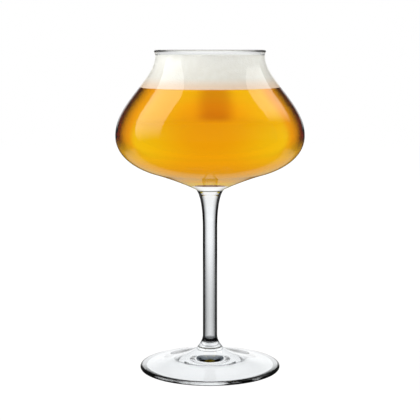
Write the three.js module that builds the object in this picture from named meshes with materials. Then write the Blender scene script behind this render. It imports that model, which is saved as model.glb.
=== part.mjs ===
// A stemmed tulip beer glass with its beer and foam head.
// Millimetres, +Z up. The glass stands on z = 0 and its axis is the Z axis.
import * as THREE from "three";

// Foot: a disc that rises to the stem
const footDiameter = 84;
const footHeight = 13; // from the table to the weld under the stem
const footEdgeThickness = 2.4;
const standingRingWidth = 3; // the flat ring that touches the table
const footHollowDepth = 5.5; // how far the underside rises to its middle

// Stem: a drawn rod, flared into a weld at each end
const stemDiameter = 8.6;
const stemLength = 95; // from weld to weld
const footWeldDiameter = 14.8;
const footFlareLength = 7.5;
const bowlWeldDiameter = 16.4;
const bowlFlareLength = 23;

// Bowl: a blown shell, heights measured from its weld
const bowlHeight = 82;
const bellyDiameter = 111.2;
const bellyHeight = 32;
const undersideDiameter = 67; // where the belly has turned into the shallow cone below it
const undersideHeight = 9.8;
const undersideSlope = 16.3; // degrees above level
const neckDiameter = 64.2;
const neckDepth = 3.6; // from the rim to the narrowest place
const rimFlare = 0.6; // how far the rim's bead stands out from the neck
const rimBeadDiameter = 1.6;
const wallThickness = 1.4;
const baseThickness = 8; // glass on the axis, above the weld

// Filling
const headspace = 3; // from the rim to the foam, at the wall
const foamDepth = 19.3;
const foamDish = 1.2; // how far the foam sinks towards its middle
const fillClearance = 0.3;

// Shape of the curves: how far a handle reaches along its span
const shoulderPull = { neck: 0.295, belly: 0.415 };
const bellyPull = { belly: 0.63, underside: 0.3 };
const basePull = { underside: 0.5, weld: 0.06 };
const floorPull = { underside: 0.35, axis: 0.45 };
const bowlFlarePull = { weld: 0.2, rod: 0.45 };
const footFlarePull = { weld: 0.25, rod: 0.5 };
const footTopPull = { edge: 0.5, weld: 0.3 };
const footHollowPull = { axis: 0.55, ring: 0.4 };
const bowlWeldSlope = 38; // degrees from upright, on both sides of the weld
const footWeldSlope = 33; // degrees from upright, on both sides of the weld
const footEdgeSlope = 5; // degrees above level, where the top of the foot leaves its rounded edge
const footHollowSlope = 6; // degrees above level, where the hollow leaves the standing ring
const beadStart = -50; // degrees from outward, where the rim's bead leaves the neck's fillet

// Facets
const turnSegments = 48;
const longCurveSteps = 10;
const shortCurveSteps = 5;
const samePlace = 0.01; // profile points closer than this are one point

const footWeldZ = footHeight;
const bowlWeldZ = footWeldZ + stemLength;
const rimZ = bowlWeldZ + bowlHeight;
const foamTopZ = rimZ - headspace;
const beerTopZ = foamTopZ - foamDepth;

const up = new THREE.Vector2(0, 1);
const outward = new THREE.Vector2(1, 0);

// A profile point: distance from the axis, height
function point(radius, height) {
  return new THREE.Vector2(radius, height);
}

// The direction that leans from upright towards outward
function leaning(degreesFromUpright) {
  const angle = THREE.MathUtils.degToRad(degreesFromUpright);
  return point(Math.sin(angle), Math.cos(angle));
}

// A span of a profile that leaves its start and reaches its end along the given directions
function span(start, startDirection, startReach, end, endDirection, endReach) {
  const startHandle = start.clone().addScaledVector(startDirection, startReach);
  const endHandle = end.clone().addScaledVector(endDirection, -endReach);
  return new THREE.CubicBezierCurve(start, startHandle, endHandle, end);
}

// Points along a curve, moved to its left by an inset
function pointsAlong(curve, steps, inset = 0) {
  const points = [];
  for (let step = 0; step <= steps; step++) {
    const along = step / steps;
    const direction = curve.getTangent(along);
    points.push(curve.getPoint(along).add(point(-direction.y, direction.x).multiplyScalar(inset)));
  }
  return points;
}

// Chains runs of points, leaving out the first of a run where it repeats the last of the one before
function chain(...runs) {
  const points = [];
  for (const next of runs.flat()) {
    if (points.length === 0 || points.at(-1).distanceTo(next) > samePlace) {
      points.push(next);
    }
  }
  return points;
}

// The bowl's outer curves, from the weld up to the neck
const neckRadius = neckDiameter / 2;
const bellyRadius = bellyDiameter / 2;
const weldPoint = point(bowlWeldDiameter / 2, bowlWeldZ);
const undersidePoint = point(undersideDiameter / 2, bowlWeldZ + undersideHeight);
const bellyPoint = point(bellyRadius, bowlWeldZ + bellyHeight);
const neckPoint = point(neckRadius, rimZ - neckDepth);
const undersideDirection = leaning(90 - undersideSlope);
const baseWidth = undersidePoint.x - weldPoint.x;
const bellyDrop = bellyPoint.y - undersidePoint.y;
const bellyReach = bellyPoint.x - undersidePoint.x;
const shoulderRise = neckPoint.y - bellyPoint.y;
const beadRadius = rimBeadDiameter / 2;
const beadCentre = point(neckRadius + rimFlare - beadRadius, rimZ - beadRadius);

const baseCurve = span(
  weldPoint, leaning(bowlWeldSlope), basePull.weld * undersideHeight,
  undersidePoint, undersideDirection, basePull.underside * baseWidth,
);
const bellyCurve = span(
  undersidePoint, undersideDirection, bellyPull.underside * bellyReach,
  bellyPoint, up, bellyPull.belly * bellyDrop,
);
const shoulderCurve = span(
  bellyPoint, up, shoulderPull.belly * shoulderRise,
  neckPoint, up, shoulderPull.neck * shoulderRise,
);

// The hollow of the bowl from its floor on the axis to the inside of the rim's bead, drawn in by a clearance
function hollow(clearance) {
  const inset = wallThickness + clearance;
  const belly = pointsAlong(bellyCurve, longCurveSteps, inset);
  const shoulder = pointsAlong(shoulderCurve, longCurveSteps, inset);
  const floorPoint = point(0, bowlWeldZ + baseThickness + clearance);
  const floorCurve = span(
    floorPoint, outward, floorPull.axis * belly[0].x,
    belly[0], undersideDirection, floorPull.underside * belly[0].x,
  );
  const beadInside = point(beadCentre.x - beadRadius - clearance, beadCentre.y);
  return chain(pointsAlong(floorCurve, longCurveSteps), belly, shoulder, [beadInside]);
}

// A stretch of the rim's bead, in degrees from outward
function beadArc(from, to) {
  const angles = [from, to].map(THREE.MathUtils.degToRad);
  return new THREE.EllipseCurve(beadCentre.x, beadCentre.y, beadRadius, beadRadius, ...angles);
}

// The rim: a fillet that leaves the neck, then the bead over its top to its inside
function rimBead() {
  const outerArc = beadArc(beadStart, 90);
  const innerArc = beadArc(90, 180);
  const arcStart = outerArc.getPoint(0);
  const direction = outerArc.getTangent(0);
  const corner = arcStart.clone().addScaledVector(direction, (neckRadius - arcStart.x) / direction.x);
  const fillet = new THREE.QuadraticBezierCurve(neckPoint, corner, arcStart);
  const curves = [fillet, outerArc, innerArc];
  return chain(...curves.map((curve) => pointsAlong(curve, shortCurveSteps)));
}

// The part of a rising profile between two heights, cut level at both
function between(profile, low, high) {
  const cutAt = (height) => {
    const above = profile.findIndex((place) => place.y >= height);
    const lower = profile[above - 1];
    const upper = profile[above];
    return lower.clone().lerp(upper, (height - lower.y) / (upper.y - lower.y));
  };
  const inside = profile.filter((place) => place.y > low && place.y < high);
  const start = profile[0].y < low ? [cutAt(low)] : [];
  return chain(start, inside, [cutAt(high)]);
}

// A solid turned from a profile that starts low on the axis and ends high on it
function turned(name, profile, material) {
  const geometry = new THREE.LatheGeometry(profile, turnSegments);
  geometry.rotateX(Math.PI / 2);
  const mesh = new THREE.Mesh(geometry, material);
  mesh.name = name;
  return mesh;
}

function clearGlass() {
  return new THREE.MeshStandardMaterial({
    color: 0xeef3f1,
    roughness: 0.04,
    metalness: 0,
    transparent: true,
    opacity: 0.35,
  });
}

function foot() {
  const radius = footDiameter / 2;
  const edgeRadius = footEdgeThickness / 2;
  const ringOuter = radius - edgeRadius;
  const ringInner = ringOuter - standingRingWidth;
  const underside = span(
    point(0, footHollowDepth), outward, footHollowPull.axis * ringInner,
    point(ringInner, 0), leaning(90 + footHollowSlope), footHollowPull.ring * ringInner,
  );
  const edge = new THREE.EllipseCurve(
    ringOuter, edgeRadius, edgeRadius, edgeRadius, -Math.PI / 2, Math.PI / 2,
  );
  const edgeTop = edge.getPoint(1);
  const weld = point(footWeldDiameter / 2, footWeldZ);
  const topWidth = edgeTop.x - weld.x;
  const top = span(
    edgeTop, leaning(footEdgeSlope - 90), footTopPull.edge * topWidth,
    weld, leaning(-footWeldSlope), footTopPull.weld * footHeight,
  );
  const profile = chain(
    pointsAlong(underside, longCurveSteps),
    edge.getPoints(shortCurveSteps),
    pointsAlong(top, longCurveSteps),
    [point(0, footWeldZ)],
  );
  return turned("foot", profile, clearGlass());
}

function stem() {
  const rodRadius = stemDiameter / 2;
  const low = point(footWeldDiameter / 2, footWeldZ);
  const high = point(bowlWeldDiameter / 2, bowlWeldZ);
  const rodLow = point(rodRadius, footWeldZ + footFlareLength);
  const rodHigh = point(rodRadius, bowlWeldZ - bowlFlareLength);
  const lowFlare = span(
    low, leaning(-footWeldSlope), footFlarePull.weld * footFlareLength,
    rodLow, up, footFlarePull.rod * footFlareLength,
  );
  const highFlare = span(
    rodHigh, up, bowlFlarePull.rod * bowlFlareLength,
    high, leaning(bowlWeldSlope), bowlFlarePull.weld * bowlFlareLength,
  );
  const profile = chain(
    [point(0, footWeldZ)],
    pointsAlong(lowFlare, shortCurveSteps),
    pointsAlong(highFlare, longCurveSteps),
    [point(0, bowlWeldZ)],
  );
  return turned("stem", profile, clearGlass());
}

function bowl() {
  const outside = chain(
    [point(0, bowlWeldZ)],
    pointsAlong(baseCurve, shortCurveSteps),
    pointsAlong(bellyCurve, longCurveSteps),
    pointsAlong(shoulderCurve, longCurveSteps),
  );
  const inside = hollow(0).reverse();
  return turned("bowl", chain(outside, rimBead(), inside), clearGlass());
}

function beer() {
  const wall = hollow(fillClearance);
  const profile = chain(between(wall, bowlWeldZ, beerTopZ), [point(0, beerTopZ)]);
  const material = new THREE.MeshStandardMaterial({ color: 0xe69a0a, roughness: 0.05, metalness: 0 });
  return turned("beer", profile, material);
}

function foamHead() {
  const wall = between(hollow(fillClearance), beerTopZ, foamTopZ);
  const edgeTop = wall.at(-1);
  const top = new THREE.QuadraticBezierCurve(
    edgeTop, point(edgeTop.x / 2, foamTopZ - foamDish), point(0, foamTopZ - foamDish),
  );
  const profile = chain([point(0, beerTopZ)], wall, pointsAlong(top, shortCurveSteps));
  const material = new THREE.MeshStandardMaterial({ color: 0xf1ece0, roughness: 0.9, metalness: 0 });
  return turned("foam_head", profile, material);
}

const beerGlass = new THREE.Group();
beerGlass.add(foot(), stem(), bowl(), beer(), foamHead());

export default beerGlass;
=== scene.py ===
"""Looks of a stemmed tulip beer glass: clear glass bowl, stem and foot, golden beer and its foam head.

Metres and degrees, +Z up. The glass stands on z = 0, its axis is the Z axis, and the photograph looks
along +Y.
"""
import math

import bpy
from mathutils import Matrix, Vector, noise


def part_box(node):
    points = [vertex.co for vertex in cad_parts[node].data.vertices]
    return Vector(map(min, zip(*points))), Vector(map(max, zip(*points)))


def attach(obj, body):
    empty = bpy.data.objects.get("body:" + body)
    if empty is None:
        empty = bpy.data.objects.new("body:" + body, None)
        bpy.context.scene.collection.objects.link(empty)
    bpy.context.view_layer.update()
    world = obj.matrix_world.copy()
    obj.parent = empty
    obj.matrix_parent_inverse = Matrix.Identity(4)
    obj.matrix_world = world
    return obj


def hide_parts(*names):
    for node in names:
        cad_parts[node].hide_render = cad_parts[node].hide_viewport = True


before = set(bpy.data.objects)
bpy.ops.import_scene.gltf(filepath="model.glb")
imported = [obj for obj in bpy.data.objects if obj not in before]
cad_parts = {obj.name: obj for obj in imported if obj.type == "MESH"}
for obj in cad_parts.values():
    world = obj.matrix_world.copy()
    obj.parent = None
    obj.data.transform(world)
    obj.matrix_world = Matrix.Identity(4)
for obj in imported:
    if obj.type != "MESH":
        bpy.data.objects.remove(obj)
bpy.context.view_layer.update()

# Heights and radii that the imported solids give
TABLE_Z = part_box("foot")[0].z
FOOT_WELD_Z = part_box("stem")[0].z
BOWL_WELD_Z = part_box("bowl")[0].z
RIM_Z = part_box("bowl")[1].z
BEER_TOP_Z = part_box("beer")[1].z
FOAM_TOP_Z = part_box("foam_head")[1].z
FOOT_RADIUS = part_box("foot")[1].x
BOWL_WELD_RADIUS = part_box("stem")[1].x
BELLY_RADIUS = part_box("bowl")[1].x

# Foot
FOOT_EDGE_RADIUS = 0.0012
STANDING_RING_WIDTH = 0.003
FOOT_HOLLOW_DEPTH = 0.0055
FOOT_HOLLOW_SLOPE = 6
FOOT_EDGE_SLOPE = 5

# Stem
STEM_RADIUS = 0.0043
FOOT_WELD_RADIUS = 0.0074
FOOT_FLARE_LENGTH = 0.0075
FOOT_WELD_SLOPE = 33
BOWL_FLARE_LENGTH = 0.023
BOWL_WELD_SLOPE = 38

# Bowl, heights measured from its weld
BELLY_HEIGHT = 0.032
UNDERSIDE_RADIUS = 0.0335
UNDERSIDE_HEIGHT = 0.0098
UNDERSIDE_SLOPE = 16.3
NECK_RADIUS = 0.0321
NECK_DEPTH = 0.0036
RIM_FLARE = 0.0006
BEAD_RADIUS = 0.0008
BEAD_START = -50
WALL = 0.0014
BASE_THICKNESS = 0.008

# Shape of the curves: how far a handle reaches along its span
SHOULDER_PULL = {"neck": 0.295, "belly": 0.415}
BELLY_PULL = {"belly": 0.63, "underside": 0.3}
BASE_PULL = {"underside": 0.5, "weld": 0.06}
FLOOR_PULL = {"underside": 0.35, "axis": 0.45}
FILLET_PULL = {"neck": 0.5, "bead": 1 / 3}
BOWL_FLARE_PULL = {"weld": 0.2, "rod": 0.45}
FOOT_FLARE_PULL = {"weld": 0.25, "rod": 0.5}
FOOT_TOP_PULL = {"edge": 0.5, "weld": 0.3}
FOOT_HOLLOW_PULL = {"axis": 0.55, "ring": 0.4}
FOAM_TOP_PULL = {"edge": 1 / 3, "axis": 1 / 2}

# Welds: how far the upper one's clear collar reaches up the bowl and down the stem, and the lines' height
COLLAR_RISE = 0.0032
COLLAR_DROP = 0.0015
WELD_LINE = 0.0006

# Filling: it wets the glass, so it reaches this far into the wall, and the foam sinks towards its middle
WETTING = 0.00005
FOAM_DISH = 0.0012

# Relief: waves of the blown glass, bubbles of the foam, and the soft lumps of its top
WAVE_HEIGHT = 0.00004
BUBBLE_HEIGHT = 0.0002
LUMP_SIZE = 0.005
LUMP_DEPTH = 0.0006

# How strongly glass and beer bend light. The glass at the welds hardly does, so that no beer shows in it
GLASS_INDEX = 1.52
BEER_INDEX = 1.345
WELD_INDEX = 1.03

# How far the stem and the bowl's collar are taken to tilt up, where their sides get painted shade
STEM_LIFT = 0.6
COLLAR_LIFT = 0.8

# Brightness of the dim studio around the lit sweep, which reflections show
STUDIO_LEVEL = 0.05

# Mesh fineness
TURN_SEGMENTS = 192
CURVE_STEPS = 40
SHORT_STEPS = 16
SHARP_ANGLE = 40
SAME_PLACE = 1e-7
ON_AXIS = 1e-9


# Profiles: points of (distance from the axis, height)

UP = Vector((0, 1))
OUTWARD = Vector((1, 0))


def leaning(degrees_from_upright):
    """The direction that leans from upright towards outward."""
    angle = math.radians(degrees_from_upright)
    return Vector((math.sin(angle), math.cos(angle)))


class Span:
    """A cubic curve that leaves its start and reaches its end along the given directions."""

    def __init__(self, start, start_direction, start_reach, end, end_direction, end_reach):
        self.points = [
            start,
            start + start_direction * start_reach,
            end - end_direction * end_reach,
            end,
        ]

    def at(self, t):
        a, b, c, d = self.points
        s = 1 - t
        return a * s**3 + b * (3 * s * s * t) + c * (3 * s * t * t) + d * t**3

    def direction(self, t):
        a, b, c, d = self.points
        s = 1 - t
        return ((b - a) * s * s + (c - b) * (2 * s * t) + (d - c) * t * t).normalized()

    def places(self, steps=CURVE_STEPS, inset=0):
        """Points along the curve, moved to its left by an inset."""
        found = []
        for step in range(steps + 1):
            along = self.direction(step / steps)
            found.append(self.at(step / steps) + Vector((-along.y, along.x)) * inset)
        return found


def arc(centre, radius, from_degrees, to_degrees, steps):
    """Points along an arc, its angles measured from outward."""
    turn = math.radians(to_degrees - from_degrees) / steps
    start = math.radians(from_degrees)
    angles = [start + turn * step for step in range(steps + 1)]
    return [centre + Vector((math.cos(a), math.sin(a))) * radius for a in angles]


def chain(*runs):
    """Joins runs of points, keeping one of two that coincide."""
    found = []
    for place in (p for run in runs for p in run):
        if not found or (place - found[-1]).length > SAME_PLACE:
            found.append(place)
    return found


def between(profile, low, high):
    """The part of a rising profile between two heights, cut level at both."""
    def cut_at(height):
        above = next(i for i, p in enumerate(profile) if p.y >= height)
        lower, upper = profile[above - 1], profile[above]
        return lower.lerp(upper, (height - lower.y) / (upper.y - lower.y))
    start = [cut_at(low)] if profile[0].y < low else []
    return chain(start, [p for p in profile if low < p.y < high], [cut_at(high)])


# The bowl's outer curves, from the weld up to the neck
weld_point = Vector((BOWL_WELD_RADIUS, BOWL_WELD_Z))
underside_point = Vector((UNDERSIDE_RADIUS, BOWL_WELD_Z + UNDERSIDE_HEIGHT))
belly_point = Vector((BELLY_RADIUS, BOWL_WELD_Z + BELLY_HEIGHT))
neck_point = Vector((NECK_RADIUS, RIM_Z - NECK_DEPTH))
bead_centre = Vector((NECK_RADIUS + RIM_FLARE - BEAD_RADIUS, RIM_Z - BEAD_RADIUS))
underside_direction = leaning(90 - UNDERSIDE_SLOPE)
base_width = underside_point.x - weld_point.x
belly_reach = belly_point.x - underside_point.x
belly_drop = belly_point.y - underside_point.y
shoulder_rise = neck_point.y - belly_point.y

base_curve = Span(
    weld_point, leaning(BOWL_WELD_SLOPE), BASE_PULL["weld"] * UNDERSIDE_HEIGHT,
    underside_point, underside_direction, BASE_PULL["underside"] * base_width,
)
belly_curve = Span(
    underside_point, underside_direction, BELLY_PULL["underside"] * belly_reach,
    belly_point, UP, BELLY_PULL["belly"] * belly_drop,
)
shoulder_curve = Span(
    belly_point, UP, SHOULDER_PULL["belly"] * shoulder_rise,
    neck_point, UP, SHOULDER_PULL["neck"] * shoulder_rise,
)


def hollow(clearance):
    """The inside of the bowl from its floor to the rim, drawn in by a clearance."""
    lower = belly_curve.places(inset=WALL + clearance)
    upper = shoulder_curve.places(inset=WALL + clearance)
    floor_end = lower[0]
    floor_curve = Span(
        Vector((0, BOWL_WELD_Z + BASE_THICKNESS + clearance)), OUTWARD, FLOOR_PULL["axis"] * floor_end.x,
        floor_end, underside_direction, FLOOR_PULL["underside"] * floor_end.x,
    )
    bead_inside = bead_centre - OUTWARD * (BEAD_RADIUS + clearance)
    return chain(floor_curve.places(), lower, upper, [bead_inside])


def rim():
    """A fillet that leaves the neck, and the bead over its top to its inside."""
    bead = arc(bead_centre, BEAD_RADIUS, BEAD_START, 180, 2 * SHORT_STEPS)
    fillet = Span(
        neck_point, UP, FILLET_PULL["neck"] * NECK_DEPTH,
        bead[0], leaning(-BEAD_START), FILLET_PULL["bead"] * RIM_FLARE,
    )
    return fillet.places(SHORT_STEPS), bead


# Meshes

def add_ring(vertices, place):
    """Adds the ring that a profile point turns into, or one vertex for a point on the axis."""
    first = len(vertices)
    if place.x < ON_AXIS:
        vertices.append((0, 0, place.y))
        return [first] * TURN_SEGMENTS
    for step in range(TURN_SEGMENTS):
        angle = 2 * math.pi * step / TURN_SEGMENTS
        vertices.append((place.x * math.cos(angle), place.x * math.sin(angle), place.y))
    return list(range(first, len(vertices)))


def turned(name, runs):
    """A solid turned from runs of (points, material) that lead from low on the axis to high on it."""
    materials = list(dict.fromkeys(material for _, material in runs))
    vertices = []
    faces = []
    numbers = []
    last = None
    below = None
    for points, material in runs:
        number = materials.index(material)
        for place in points:
            if last is not None and (place - last).length < SAME_PLACE:
                continue
            ring = add_ring(vertices, place)
            if below is not None:
                for step in range(TURN_SEGMENTS):
                    after = (step + 1) % TURN_SEGMENTS
                    corners = [below[step], below[after], ring[after], ring[step]]
                    faces.append(list(dict.fromkeys(corners)))
                    numbers.append(number)
            last = place
            below = ring
    mesh = bpy.data.meshes.new(name)
    mesh.from_pydata(vertices, [], faces)
    for material in materials:
        mesh.materials.append(material)
    mesh.polygons.foreach_set("material_index", numbers)
    mesh.polygons.foreach_set("use_smooth", [True] * len(faces))
    mesh.set_sharp_from_angle(angle=math.radians(SHARP_ANGLE))
    mesh.update()
    piece = bpy.data.objects.new(name, mesh)
    bpy.context.scene.collection.objects.link(piece)
    return piece


# Nodes

class Graph:
    """A node tree whose nodes are made, set and joined in one call each."""

    def __init__(self, tree):
        self.tree = tree
        tree.nodes.clear()

    def add(self, kind, inputs=None, **settings):
        node = self.tree.nodes.new(kind)
        for name, value in settings.items():
            setattr(node, name, value)
        for name, value in (inputs or {}).items():
            if isinstance(value, bpy.types.NodeSocket):
                self.tree.links.new(value, node.inputs[name])
            else:
                node.inputs[name].default_value = value
        return node

    def math(self, operation, first, *others):
        """A number worked out from left to right."""
        found = first
        for other in others:
            found = self.add("ShaderNodeMath", {0: found, 1: other}, operation=operation).outputs[0]
        return found

    def ramp(self, value, ends, at_start, at_end):
        """A smooth change of a number as a value goes from one end to the other."""
        start, end = ends
        inputs = {"Value": value, "From Min": start, "From Max": end, "To Min": at_start, "To Max": at_end}
        return self.add("ShaderNodeMapRange", inputs, interpolation_type="SMOOTHSTEP").outputs[0]

    def mix(self, share, first, second):
        """A number that goes from the first to the second as a share goes from 0 to 1.

        A mix node takes numbers at its inputs 2 and 3.
        """
        return self.add("ShaderNodeMix", {0: share, 2: first, 3: second}).outputs[0]

    def blend(self, share, first, second):
        """A colour that goes from the first to the second as a share goes from 0 to 1.

        A mix node takes colours at its inputs 6 and 7, and gives one at its output 2.
        """
        colours = {}
        for number, value in ((6, first), (7, second)):
            colours[number] = value if isinstance(value, bpy.types.NodeSocket) else (*value, 1)
        return self.add("ShaderNodeMix", {0: share, **colours}, data_type="RGBA").outputs[2]

    def place(self):
        """The place on the surface, measured in the part's frame."""
        return self.add("ShaderNodeTexCoord").outputs["Object"]

    def length(self, vector):
        return self.add("ShaderNodeVectorMath", {0: vector}, operation="LENGTH").outputs["Value"]

    def axes(self, vector):
        return self.add("ShaderNodeSeparateXYZ", {0: vector}).outputs

    def patches(self, scale, detail):
        """Soft patches: a number that wanders about 0.5."""
        inputs = {"Vector": self.place(), "Scale": scale, "Detail": detail}
        return self.add("ShaderNodeTexNoise", inputs).outputs["Fac"]

    def height_ramp(self, base, rises, at_start, at_end):
        """A smooth change of a number between two heights above a base."""
        heights = [base + rise for rise in rises]
        return self.ramp(self.axes(self.place())["Z"], heights, at_start, at_end)

    def slant(self, lift=0):
        """How far the surface turns from the view: 0 face on, 1 edge on, and about even across a round rod.

        A lift tilts the surface up first, so that an upright rod is not all slant to a view from above.
        """
        normal = self.add("ShaderNodeNewGeometry").outputs["Normal"]
        raised = self.add("ShaderNodeVectorMath", {0: normal, 1: (0, 0, lift)}, operation="ADD").outputs[0]
        tilted = self.add("ShaderNodeVectorMath", {0: raised}, operation="NORMALIZE").outputs[0]
        facing = self.add("ShaderNodeLayerWeight", {"Blend": 0.5, "Normal": tilted}).outputs["Facing"]
        return self.math("POWER", facing, 0.5)

    def front(self):
        """1 where the surface is seen from outside, 0 from inside."""
        return self.math("SUBTRACT", 1, self.add("ShaderNodeNewGeometry").outputs["Backfacing"])

    def path(self):
        """What kind of ray sees the surface, and how it got there."""
        return self.add("ShaderNodeLightPath").outputs

    def shown(self):
        """1 for what the camera sees, straight or through glass, 0 for light and reflections."""
        path = self.path()
        return self.math("MAXIMUM", path["Is Camera Ray"], path["Is Transmission Ray"])


def new_material(name):
    material = bpy.data.materials.new(name)
    material.use_nodes = True
    return material, Graph(material.node_tree)


# Glass

WHITE = (1, 1, 1)
BLACK = (0, 0, 0)
NEAR_BLACK = (0.05, 0.05, 0.05)
NEUTRAL = (0.985, 0.992, 0.995)
COOL = (0.955, 0.98, 1.0)
LAMP_LIGHT_TINT = (0.985, 0.99, 0.99)


def lets_lamps_through(graph, shader, tint):
    """Glass as it is seen, and a plain tinted pane for the lamps' light."""
    path = graph.path()
    pane = graph.add("ShaderNodeBsdfTransparent", {"Color": (*tint, 1)})
    lamp_light = graph.math("MAXIMUM", path["Is Shadow Ray"], path["Is Diffuse Ray"])
    mix = graph.add("ShaderNodeMixShader", {0: lamp_light, 1: shader.outputs[0], 2: pane.outputs[0]})
    return graph.add("ShaderNodeOutputMaterial", {"Surface": mix.outputs[0]})


def finish_glass(graph, share, edge_shade, tint=NEUTRAL, index=GLASS_INDEX):
    """Clear glass with slight waves and smears, going over to painted edge shade as a share goes from 0 to
    1.
    """
    waves = graph.patches(scale=45, detail=1)
    smears = graph.patches(scale=160, detail=3)
    smear_ends = (0.5, 0.75)
    smear_roughness = 0.03
    relief = graph.add("ShaderNodeBump", {"Height": waves, "Strength": 1, "Distance": WAVE_HEIGHT})
    glass = graph.add("ShaderNodeBsdfPrincipled", {
        "Base Color": graph.blend(share, tint, edge_shade),
        "Roughness": graph.ramp(smears, smear_ends, 0, smear_roughness),
        "IOR": index,
        "Transmission Weight": 1.0,
        "Normal": relief.outputs[0],
    })
    lets_lamps_through(graph, glass, LAMP_LIGHT_TINT)


def grazing_glass(name, slants, edge_shade, **finish):
    """Glass with painted shade from one slant to another, as its edges show before a bright backdrop."""
    material, graph = new_material(name)
    finish_glass(graph, graph.ramp(graph.slant(), slants, 0, 1), edge_shade, **finish)
    return material


def collar_glass(name, slants, edge_shade, lift):
    """Glass beside the upper weld, with painted shade at its sides where it is seen from outside."""
    material, graph = new_material(name)
    sides = graph.ramp(graph.slant(lift), slants, 0, 1)
    share = graph.math("MULTIPLY", sides, graph.front())
    finish_glass(graph, share, edge_shade, index=WELD_INDEX)
    return material


def line_glass():
    """The thin dark line at a weld, where it is seen from outside."""
    material, graph = new_material("line_glass")
    finish_glass(graph, graph.front(), (0.05, 0.05, 0.04), index=WELD_INDEX)
    return material


def stem_glass():
    """Stem glass with painted shade: dark sides, less so further up, a dark ring above the clear lower end.
    """
    low_slant = -0.16
    high_slant = 0.26
    dark_slant = 0.6
    rod_start = 0.017
    rod_end = BOWL_WELD_Z - BOWL_FLARE_LENGTH - FOOT_WELD_Z
    clear_end = (0.0025, 0.004)
    ring_end = (0.0065, 0.0095)
    ring_share = 0.97
    material, graph = new_material("stem_glass")
    clear_slant = graph.height_ramp(FOOT_WELD_Z, (rod_start, rod_end), low_slant, high_slant)
    sides = graph.ramp(graph.slant(STEM_LIFT), (clear_slant, dark_slant), 0, 1)
    # A painted dark ring of shade just above the foot's weld
    ring = graph.height_ramp(FOOT_WELD_Z, ring_end, ring_share, 0)
    above_weld = graph.height_ramp(FOOT_WELD_Z, clear_end, 0, 1)
    dark = graph.math("MAXIMUM", sides, ring)
    share = graph.math("MULTIPLY", dark, above_weld, graph.front())
    finish_glass(graph, share, BLACK, COOL)
    return material


def edge_glass():
    """Foot's rounded edge with painted shade: dark at its sides, with dark streaks along its outermost
    part.
    """
    slants = (0.28, 0.64)
    streak_start = FOOT_RADIUS - 0.0007
    streak_full = FOOT_RADIUS - 0.0002
    streak_strength = 0.4
    streak_ends = (0.42, 0.66)
    material, graph = new_material("edge_glass")
    # Painted shade: patches of noise darken the outermost part in streaks
    outermost = graph.ramp(graph.length(graph.place()), (streak_start, streak_full), 0, streak_strength)
    streaks = graph.ramp(graph.patches(scale=60, detail=1), streak_ends, 0, 1)
    slant = graph.math("ADD", graph.slant(), graph.math("MULTIPLY", outermost, streaks))
    finish_glass(graph, graph.ramp(slant, slants, 0, 1), BLACK, COOL)
    return material


def fused_seam(name, end_on_shade):
    """Weld between two pieces of glass: clear across the stem, a painted shade end on, for light along it.
    """
    slants = (0.55, 0.77)
    material, graph = new_material(name)
    share = graph.ramp(graph.slant(), slants, 1, 0)
    pane = graph.add("ShaderNodeBsdfTransparent", {"Color": graph.blend(share, WHITE, end_on_shade)})
    graph.add("ShaderNodeOutputMaterial", {"Surface": pane.outputs[0]})
    return material


# Filling

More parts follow.
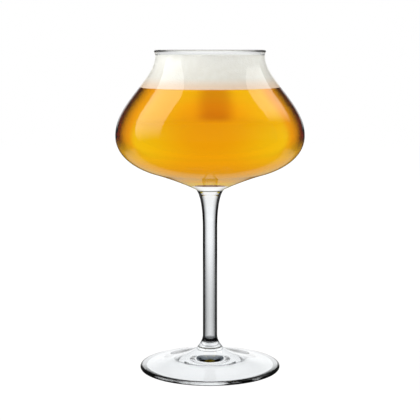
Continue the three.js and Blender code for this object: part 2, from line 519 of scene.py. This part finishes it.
def golden_beer():
    """Beer that absorbs light along its depth, with painted light and shade on its surface: a paler bottom
    and sides, a darker shoulder, a warm brown band and brown to black edges.

    The glass around it bends the light, so the beer's own surface bends none. Reflections in the glass
    show it without its painted tones.
    """
    # Painted light and shade: darker amber at the shoulder, paler gold for lamp light in the sides and
    # bottom
    shoulder_amber = (0.87, 0.56, 0.5)
    belly_amber = (0.95, 0.61, 0.5)
    pale_gold = (1, 0.92, 0.8)
    warm_brown = (0.88, 0.36, 0.14)
    shoulder_edge = (0.008, 0.001, 0.0)
    belly_edge = (0.04, 0.002, 0.0)
    absorbed_to = (0.997, 0.91, 0.03, 1)
    absorption = 60
    belly_slants = (0.08, 0.36)
    shoulder_slants = (0.2, 0.34)
    warm_slants = (0.39, 0.435)
    edge_slants = (0.425, 0.49)
    shoulder_rises = (0, 0.016)
    base_rises = (-0.018, 0)
    bottom_rises = (0.01, 0.02)
    edge_rises = (0.019, 0.032)
    pale_base_share = 0.15
    pale_bottom_share = 0.7
    pale_shoulder_share = 0.6
    material, graph = new_material("golden_beer")
    slant = graph.slant()
    direct = graph.math("LESS_THAN", graph.path()["Glossy Depth"], 1)
    below_shoulder = graph.height_ramp(belly_point.y, shoulder_rises, 1, 0)
    above_shoulder = graph.math("SUBTRACT", 1, below_shoulder)
    above_base = graph.height_ramp(belly_point.y, base_rises, pale_base_share, 1)
    edge_height = graph.height_ramp(BOWL_WELD_Z, edge_rises, 0, 1)

    # Painted light: paler gold at the belly's and shoulder's sides and at the bottom
    belly_sides = graph.ramp(slant, belly_slants, 0, 1)
    pale_belly = graph.math("MULTIPLY", belly_sides, below_shoulder, above_base)
    pale_bottom = graph.height_ramp(BOWL_WELD_Z, bottom_rises, pale_bottom_share, 0)
    shoulder_sides = graph.ramp(slant, shoulder_slants, 0, pale_shoulder_share)
    pale_shoulder = graph.math("MULTIPLY", shoulder_sides, above_shoulder)
    pale = graph.math("MAXIMUM", pale_belly, pale_bottom, pale_shoulder)
    amber = graph.blend(below_shoulder, shoulder_amber, belly_amber)
    body = graph.blend(direct, WHITE, graph.blend(pale, amber, pale_gold))

    # Painted shade, seen from outside: a warm brown band, then brown to black edges
    edge_place = graph.math("MULTIPLY", edge_height, direct, graph.front())
    warm = graph.math("MULTIPLY", graph.ramp(slant, warm_slants, 0, 1), edge_place)
    edge = graph.math("MULTIPLY", graph.ramp(slant, edge_slants, 0, 1), edge_place)
    edge_shade = graph.blend(below_shoulder, shoulder_edge, belly_edge)
    liquid = graph.add("ShaderNodeBsdfPrincipled", {
        "Base Color": graph.blend(edge, graph.blend(warm, body, warm_brown), edge_shade),
        "Roughness": 0.0,
        "IOR": 1.0,
        "Transmission Weight": 1.0,
    })
    output = lets_lamps_through(graph, liquid, WHITE)
    depth = graph.add("ShaderNodeVolumeAbsorption", {"Color": absorbed_to, "Density": absorption})
    graph.tree.links.new(depth.outputs[0], output.inputs["Volume"])
    return material


def beer_foam():
    """Foam that is wet and tinted at the beer, with painted light that brightens it towards its top, and
    fine bubbles.
    """
    beer_tint = (0.90, 0.68, 0.49)
    darker_foam = (0.87, 0.84, 0.75)
    lighter_foam = (0.985, 0.975, 0.91)
    wet_rises = (0, 0.007)
    top_light_rises = (0.005, FOAM_TOP_Z - BEER_TOP_Z)
    low_lightness = 0.1
    high_lightness = 0.9
    clump_lightness = 0.15
    clump_ends = (0.3, 0.7)
    rough = 0.75
    smooth = 0.55
    bubble_scale = 900
    bubble_ends = (0, 0.7)
    material, graph = new_material("beer_foam")
    clumps = graph.patches(scale=260, detail=5)
    cells = graph.add("ShaderNodeTexVoronoi", {"Vector": graph.place(), "Scale": bubble_scale})
    bubbles = graph.ramp(cells.outputs["Distance"], bubble_ends, 1, 0)
    relief = graph.add("ShaderNodeBump", {"Height": bubbles, "Strength": 0.5, "Distance": BUBBLE_HEIGHT})
    wet = graph.height_ramp(BEER_TOP_Z, wet_rises, 1, 0)
    # Painted light: the foam is made lighter towards its top, against the shade its upright top part gets
    painted_top_light = graph.height_ramp(BEER_TOP_Z, top_light_rises, low_lightness, high_lightness)
    lightness = graph.math("ADD", painted_top_light, graph.ramp(clumps, clump_ends, -clump_lightness, clump_lightness))
    froth = graph.add("ShaderNodeBsdfPrincipled", {
        "Base Color": graph.blend(wet, graph.blend(lightness, darker_foam, lighter_foam), beer_tint),
        "Roughness": graph.ramp(clumps, clump_ends, rough, smooth),
        "Normal": relief.outputs[0],
    })
    graph.add("ShaderNodeOutputMaterial", {"Surface": froth.outputs[0]})
    return material


# Pieces

bowl_seam = fused_seam("bowl_seam", (0.98, 0.98, 0.98))
# The foot's weld is painted dark end on, which shows as a dark oval of shade in the foot under the stem.
foot_seam = fused_seam("foot_seam", (0.16, 0.18, 0.2))
weld_line = line_glass()


def make_foot():
    # Painted shade darkens the foot's faces at their edges.
    face = grazing_glass("foot_glass", slants=(0.96, 1.0), edge_shade=NEAR_BLACK, tint=COOL)
    ring_outer = FOOT_RADIUS - FOOT_EDGE_RADIUS
    ring_inner = ring_outer - STANDING_RING_WIDTH
    middle = Vector((0, TABLE_Z + FOOT_HOLLOW_DEPTH))
    ring = Vector((ring_inner, TABLE_Z))
    dish = Span(
        middle, OUTWARD, FOOT_HOLLOW_PULL["axis"] * ring_inner,
        ring, leaning(90 + FOOT_HOLLOW_SLOPE), FOOT_HOLLOW_PULL["ring"] * ring_inner,
    )
    edge_centre = Vector((ring_outer, TABLE_Z + FOOT_EDGE_RADIUS))
    edge = arc(edge_centre, FOOT_EDGE_RADIUS, -90, 90, SHORT_STEPS)
    edge_top = edge[-1]
    weld_edge = Vector((FOOT_WELD_RADIUS, FOOT_WELD_Z))
    top = Span(
        edge_top, leaning(FOOT_EDGE_SLOPE - 90), FOOT_TOP_PULL["edge"] * (edge_top.x - weld_edge.x),
        weld_edge, leaning(-FOOT_WELD_SLOPE), FOOT_TOP_PULL["weld"] * (FOOT_WELD_Z - TABLE_Z),
    )
    return turned("glass_foot", [
        (dish.places(), face),
        (edge, edge_glass()),
        (top.places(), face),
        ([weld_edge, Vector((0, FOOT_WELD_Z))], foot_seam),
    ])


def make_stem():
    collar = collar_glass("collar_glass", slants=(0.25, 0.62), edge_shade=BLACK, lift=STEM_LIFT)
    low = Vector((FOOT_WELD_RADIUS, FOOT_WELD_Z))
    high = Vector((BOWL_WELD_RADIUS, BOWL_WELD_Z))
    rod_low = Vector((STEM_RADIUS, FOOT_WELD_Z + FOOT_FLARE_LENGTH))
    rod_high = Vector((STEM_RADIUS, BOWL_WELD_Z - BOWL_FLARE_LENGTH))
    low_flare = Span(
        low, leaning(-FOOT_WELD_SLOPE), FOOT_FLARE_PULL["weld"] * FOOT_FLARE_LENGTH,
        rod_low, UP, FOOT_FLARE_PULL["rod"] * FOOT_FLARE_LENGTH,
    )
    high_flare = Span(
        rod_high, UP, BOWL_FLARE_PULL["rod"] * BOWL_FLARE_LENGTH,
        high, leaning(BOWL_WELD_SLOPE), BOWL_FLARE_PULL["weld"] * BOWL_FLARE_LENGTH,
    )
    rod = chain(low_flare.places(), high_flare.places())
    low_line_z = FOOT_WELD_Z + WELD_LINE
    collar_z = BOWL_WELD_Z - COLLAR_DROP
    high_line_z = BOWL_WELD_Z - WELD_LINE
    return turned("glass_stem", [
        ([Vector((0, FOOT_WELD_Z)), low], foot_seam),
        (between(rod, FOOT_WELD_Z, low_line_z), weld_line),
        (between(rod, low_line_z, collar_z), stem_glass()),
        (between(rod, collar_z, high_line_z), collar),
        (between(rod, high_line_z, BOWL_WELD_Z), weld_line),
        ([high, Vector((0, BOWL_WELD_Z))], bowl_seam),
    ])


def make_bowl():
    # Painted shade darkens the bowl's glass and wetted inside at their edges, and makes the bead a dark
    # line.
    wall = grazing_glass("bowl_glass", slants=(0.89, 1.0), edge_shade=(0.35, 0.31, 0.25))
    bead_finish = grazing_glass("bead_glass", slants=(0.3, 0.75), edge_shade=NEAR_BLACK)
    collar = collar_glass("weld_glass", slants=(0.3, 0.8), edge_shade=(0.2, 0.17, 0.12), lift=COLLAR_LIFT)
    wetted = grazing_glass(
        "wetted_glass", slants=(0.95, 1.0), edge_shade=(0.9, 0.9, 0.9), index=GLASS_INDEX / BEER_INDEX,
    )
    fillet, bead = rim()
    base = base_curve.places()
    collar_z = BOWL_WELD_Z + COLLAR_RISE
    outside = chain(
        between(base, collar_z, underside_point.y),
        belly_curve.places(),
        shoulder_curve.places(),
        fillet,
    )
    dry_inside = between(hollow(0), BEER_TOP_Z, bead_centre.y)
    wet_inside = between(hollow(0), BOWL_WELD_Z, BEER_TOP_Z)
    return turned("glass_bowl", [
        ([Vector((0, BOWL_WELD_Z)), weld_point], bowl_seam),
        (between(base, BOWL_WELD_Z, collar_z), collar),
        (outside, wall),
        (bead, bead_finish),
        (dry_inside[::-1], wall),
        (wet_inside[::-1], wetted),
    ])


def make_beer():
    wall = between(hollow(-WETTING), BOWL_WELD_Z, BEER_TOP_Z)
    return turned("beer_fill", [(chain(wall, [Vector((0, BEER_TOP_Z))]), golden_beer())])


def make_foam():
    wall = between(hollow(-WETTING), BEER_TOP_Z, FOAM_TOP_Z)
    edge = wall[-1]
    middle = Vector((0, FOAM_TOP_Z - FOAM_DISH))
    top = Span(
        edge, -OUTWARD, FOAM_TOP_PULL["edge"] * edge.x,
        middle, -OUTWARD, FOAM_TOP_PULL["axis"] * edge.x,
    )
    profile = chain([Vector((0, BEER_TOP_Z))], wall, top.places())
    foam = turned("foam_top", [(profile, beer_foam())])
    for vertex in foam.data.vertices:
        inward = edge.x - vertex.co.xy.length
        if vertex.co.z > middle.y - LUMP_DEPTH and inward > 0:
            share = min(1, inward / LUMP_SIZE)
            sink = (1 + noise.noise(vertex.co / LUMP_SIZE)) / 2
            vertex.co.z -= LUMP_DEPTH * share * sink
    return foam


for piece, node, slot in (
    (make_foot(), "foot", "clear_glass"),
    (make_stem(), "stem", "clear_glass"),
    (make_bowl(), "bowl", "clear_glass"),
    (make_beer(), "beer", "beer"),
    (make_foam(), "foam_head", "foam"),
):
    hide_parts(node)
    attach(piece, "root")


# Stage

def pale_floor():
    """White to camera and through glass, dim in reflections bar a painted pool of light, shaded by what
    stands on it.

    A painted shadow, a tinted strip, runs back from the glass. It shows only to light that has gone
    through the beer, as the darker patch at the beer's top.
    """
    paint_grey = 0.35
    paint_ends = (0.5, 1.8)
    near_glow = 0.72
    glow_ends = (0.1, 1.8)
    shadow_strip_tint = (0.68, 0.44, 0.22)
    strip_course = -0.022
    strip_edge = (0.025, 0.1)
    strip_start = (0.2, 0.4)
    strip_end = (0.9, 1.7)
    crossings_of_glass = 4
    lit_level = 0.4
    lit_start = (0.03, 0.09)
    lit_end = (0.25, 0.45)
    material, graph = new_material("pale_floor")
    path = graph.path()
    place = graph.place()
    reach = graph.length(place)
    side, depth, _ = graph.axes(place)

    # Painted shadow: an amber strip on the floor behind the glass, seen only through the beer
    course = graph.math("DIVIDE", side, depth)
    off_course = graph.math("ABSOLUTE", graph.math("SUBTRACT", course, strip_course), 0)
    across = graph.ramp(off_course, strip_edge, 1, 0)
    begun = graph.ramp(depth, strip_start, 0, 1)
    going_on = graph.ramp(depth, strip_end, 1, 0)
    through_beer = graph.math("GREATER_THAN", path["Transmission Depth"], crossings_of_glass)
    shadow_strip = graph.math("MULTIPLY", across, begun, going_on, through_beer)
    tint = graph.blend(shadow_strip, WHITE, shadow_strip_tint)

    glow = graph.math("MULTIPLY", graph.shown(), graph.ramp(reach, glow_ends, near_glow, 1))
    paint = graph.add("ShaderNodeBsdfDiffuse", {"Color": graph.ramp(reach, paint_ends, paint_grey, 0)})
    white = graph.add("ShaderNodeEmission", {"Color": tint, "Strength": glow})
    both = graph.add("ShaderNodeAddShader", {0: paint.outputs[0], 1: white.outputs[0]})

    # Painted pool of light on the floor behind the glass, which only reflections show
    lit = graph.math("MULTIPLY", graph.ramp(depth, lit_start, 0, 1), graph.ramp(reach, lit_end, 1, 0))
    dim = graph.add("ShaderNodeEmission", {"Strength": graph.ramp(lit, (0, 1), STUDIO_LEVEL, lit_level)})
    one_reflection = {0: path["Glossy Depth"], 1: 1, 2: 0.5}
    mirrored = graph.add("ShaderNodeMath", one_reflection, operation="COMPARE").outputs[0]
    seen = graph.add("ShaderNodeMixShader", {0: mirrored, 1: both.outputs[0], 2: dim.outputs[0]})
    graph.add("ShaderNodeOutputMaterial", {"Surface": seen.outputs[0]})
    return material


def make_floor():
    half_size = 12.0
    drop = 0.0001
    mesh = bpy.data.meshes.new("floor")
    corners = [(-1, -1), (1, -1), (1, 1), (-1, 1)]
    vertices = [(x * half_size, y * half_size, TABLE_Z - drop) for x, y in corners]
    mesh.from_pydata(vertices, [], [(0, 1, 2, 3)])
    mesh.materials.append(pale_floor())
    floor = bpy.data.objects.new("floor", mesh)
    bpy.context.scene.collection.objects.link(floor)


def make_world():
    """White to the camera and through glass, and in reflections a bright sweep behind a dim studio.

    Its light comes from low down all round, and little from overhead.
    """
    horizon_level = 2.2
    overhead_level = 0.15
    rise_ends = (0.25, 0.7)
    sweep_ends = (0.9, 0.985)
    world = bpy.data.worlds.new("studio")
    bpy.context.scene.world = world
    world.use_nodes = True
    graph = Graph(world.node_tree)
    direction = graph.axes(graph.add("ShaderNodeTexCoord").outputs["Generated"])
    light_level = graph.ramp(direction["Z"], rise_ends, horizon_level, overhead_level)
    sweep_level = graph.ramp(direction["Y"], sweep_ends, STUDIO_LEVEL, 1)
    unseen_level = graph.mix(graph.path()["Is Glossy Ray"], light_level, sweep_level)
    level = graph.mix(graph.shown(), unseen_level, 1)
    light = graph.add("ShaderNodeBackground", {"Color": (*WHITE, 1), "Strength": level})
    graph.add("ShaderNodeOutputWorld", {"Surface": light.outputs[0]})


def make_softbox(name, azimuth, elevation, roll, width, height, radiance):
    """A soft lamp that looks at the belly and fades towards its lower edge.

    Its azimuth goes from the camera's side towards +X.
    """
    distance = 0.9
    fade_ends = (0, 0.5)
    turn = math.radians(azimuth)
    lift = math.radians(elevation)
    away = Vector((math.sin(turn) * math.cos(lift), -math.cos(turn) * math.cos(lift), math.sin(lift)))
    side = Vector((0, 0, 1)).cross(away).normalized()
    place = Matrix((side, away.cross(side), away)).transposed().to_4x4()
    place.translation = Vector((0, 0, belly_point.y)) + away * distance
    lamp = bpy.data.lights.new(name, "AREA")
    lamp.shape = "RECTANGLE"
    lamp.size = width
    lamp.size_y = height
    lamp.energy = radiance * math.pi * width * height
    lamp.use_nodes = True
    graph = Graph(lamp.node_tree)
    rise = graph.axes(graph.add("ShaderNodeNewGeometry").outputs["Parametric"])["Y"]
    shine = graph.add("ShaderNodeEmission", {"Strength": graph.ramp(rise, fade_ends, 0, 1)})
    graph.add("ShaderNodeOutputLight", {"Surface": shine.outputs[0]})
    holder = bpy.data.objects.new(name, lamp)
    holder.matrix_world = place @ Matrix.Rotation(math.radians(roll), 4, "Z")
    holder.visible_camera = False
    holder.visible_transmission = False
    bpy.context.scene.collection.objects.link(holder)


def make_camera():
    """Level with the rim and pitched down, as the foot's ellipse and the straight rim show."""
    distance = 0.6993
    pitch = 7.676
    camera = bpy.data.cameras.new("camera")
    camera.sensor_width = 36
    camera.lens = 101.88
    camera.clip_start = 0.01
    holder = bpy.data.objects.new("camera", camera)
    holder.location = (0, -distance, RIM_Z)
    holder.rotation_euler = (math.radians(90 - pitch), 0, 0)
    bpy.context.scene.collection.objects.link(holder)
    bpy.context.scene.camera = holder


make_floor()
make_world()
make_softbox("left_softbox", azimuth=-86, elevation=28, roll=20, width=0.65, height=1.2, radiance=2.0)
make_softbox("right_softbox", azimuth=112, elevation=38, roll=-28, width=0.6, height=0.6, radiance=1.7)
make_camera()

scene = bpy.context.scene
scene.view_settings.view_transform = "Standard"
scene.cycles.max_bounces = 32
scene.cycles.transmission_bounces = 24
scene.cycles.glossy_bounces = 12
scene.cycles.transparent_max_bounces = 32
